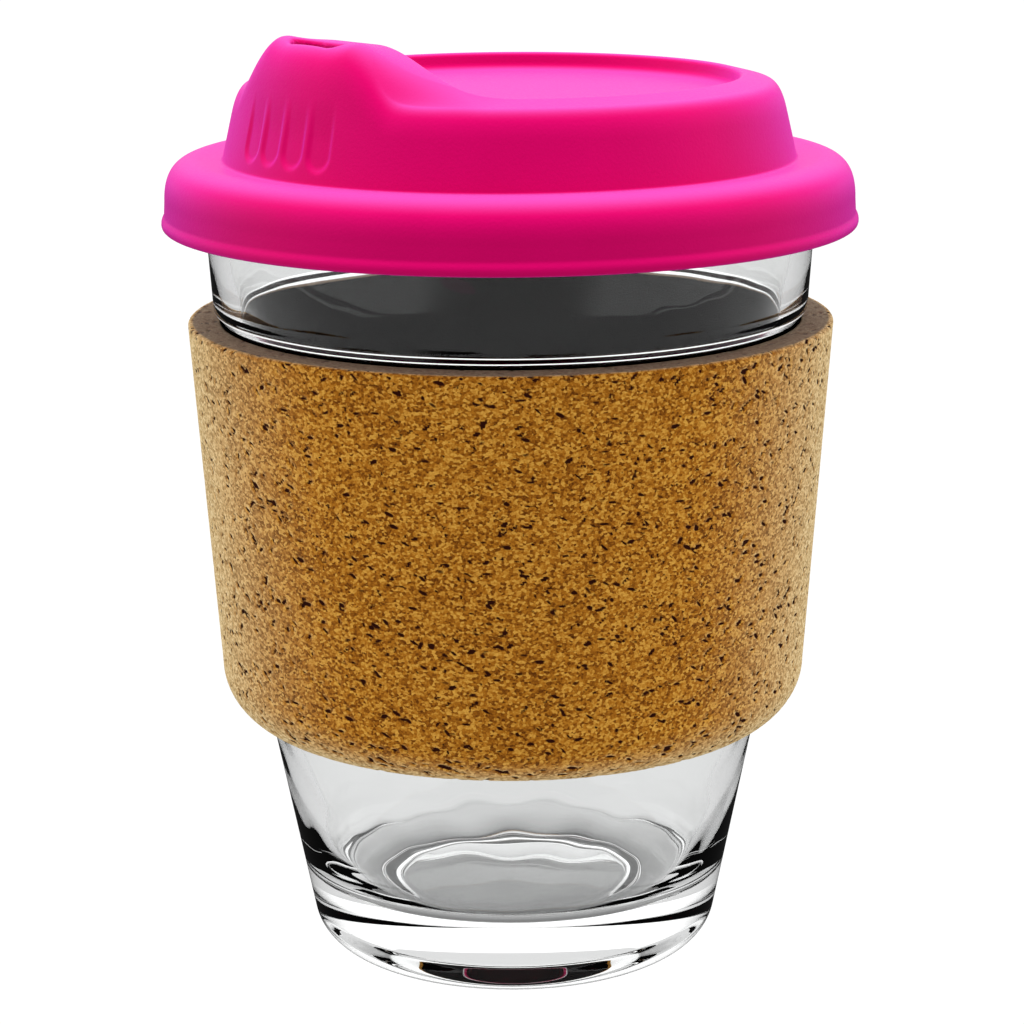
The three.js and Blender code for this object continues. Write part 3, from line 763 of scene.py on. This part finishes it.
def by_kind(nodes, seen, through, glossy, soft):
    """A strength for each kind of ray."""
    total = None
    for kind, level in zip(ray_kinds(nodes), (seen, through, glossy, soft)):
        part = nodes.math("MULTIPLY", kind, level)
        total = part if total is None else nodes.math("ADD", total, part)
    return total


def floor():
    """A white table with a painted shadow: pale grey where the cup would shade it, as seen through the
    glass.
    """
    nodes = Nodes(bpy.data.materials.new("studio_floor"))
    tree = nodes.tree
    place = nodes.add("TexCoord").outputs["Object"]
    away = nodes.add("VectorMath", {0: place}, operation="LENGTH").outputs["Value"]
    # painted shadow of the cup: the glowing floor is dimmed near the axis for rays that come through the
    # glass
    shaded = nodes.mapped(away, *SHADE_SIZE, UNDER_CUP, TABLE_THROUGH)
    strength = by_kind(nodes, SEEN, shaded, TABLE_GLOSS, TABLE_SOFT)
    glow = nodes.add("Emission", {"Color": (1, 1, 1, 1), "Strength": strength})
    tree.links.new(glow.outputs[0], tree.nodes["Material Output"].inputs[0])
    nodes.owner.cycles.emission_sampling = "NONE"
    mesh = bpy.data.meshes.new("floor")
    turns = np.linspace(0, 2 * math.pi, FLOOR_SIDES, endpoint=False)
    ring = [(FLOOR_RADIUS * math.cos(turn), FLOOR_RADIUS * math.sin(turn), 0) for turn in turns]
    mesh.from_pydata(ring, [], [list(range(FLOOR_SIDES))])
    mesh.materials.append(nodes.owner)
    obj = bpy.data.objects.new("floor", mesh)
    obj.location = (0, 0, -FLOOR_DROP)
    bpy.context.scene.collection.objects.link(obj)


def world(turn):
    """A light tent that is bright all round but for the dark place in front where the camera stands."""
    nodes = Nodes(bpy.data.worlds.new("studio"))
    direction = nodes.add("TexCoord").outputs["Generated"]
    front = (math.sin(turn), -math.cos(turn), 0.0)
    towards = nodes.add("VectorMath", {0: direction, 1: front}, operation="DOT_PRODUCT").outputs["Value"]
    height = nodes.add("SeparateXYZ", {0: direction}).outputs[2]
    bright = nodes.mapped(towards, FRONT_DARK[1], FRONT_DARK[0])
    low = nodes.mapped(height, 0.98, 0.6)
    behind = nodes.mapped(towards, -0.3, -0.75)
    through = nodes.math("MULTIPLY", bright, BACK_THROUGH)
    glossy = nodes.math("MULTIPLY", nodes.math("MULTIPLY", behind, low), BACK_GLOSS)
    around = nodes.mapped(towards, 1.0, -0.3, FRONT_SOFT, SIDE_SOFT)
    soft = nodes.math("MULTIPLY", around, nodes.mapped(height, 0.1, 1.0, 1.0, TOP_SOFT))
    strength = by_kind(nodes, SEEN, through, glossy, soft)
    background = nodes.tree.nodes["Background"]
    background.inputs[0].default_value = (1, 1, 1, 1)
    nodes.tree.links.new(strength, background.inputs[1])
    nodes.owner.cycles.sampling_method = "NONE"
    bpy.context.scene.world = nodes.owner


def studio(turn):
    overhead_lamp()
    world(turn)
    floor()
    bpy.context.scene.view_settings.view_transform = "Standard"


view_turn = camera()
glass_cup()
cork_band()
silicone_lid()
studio(view_turn)
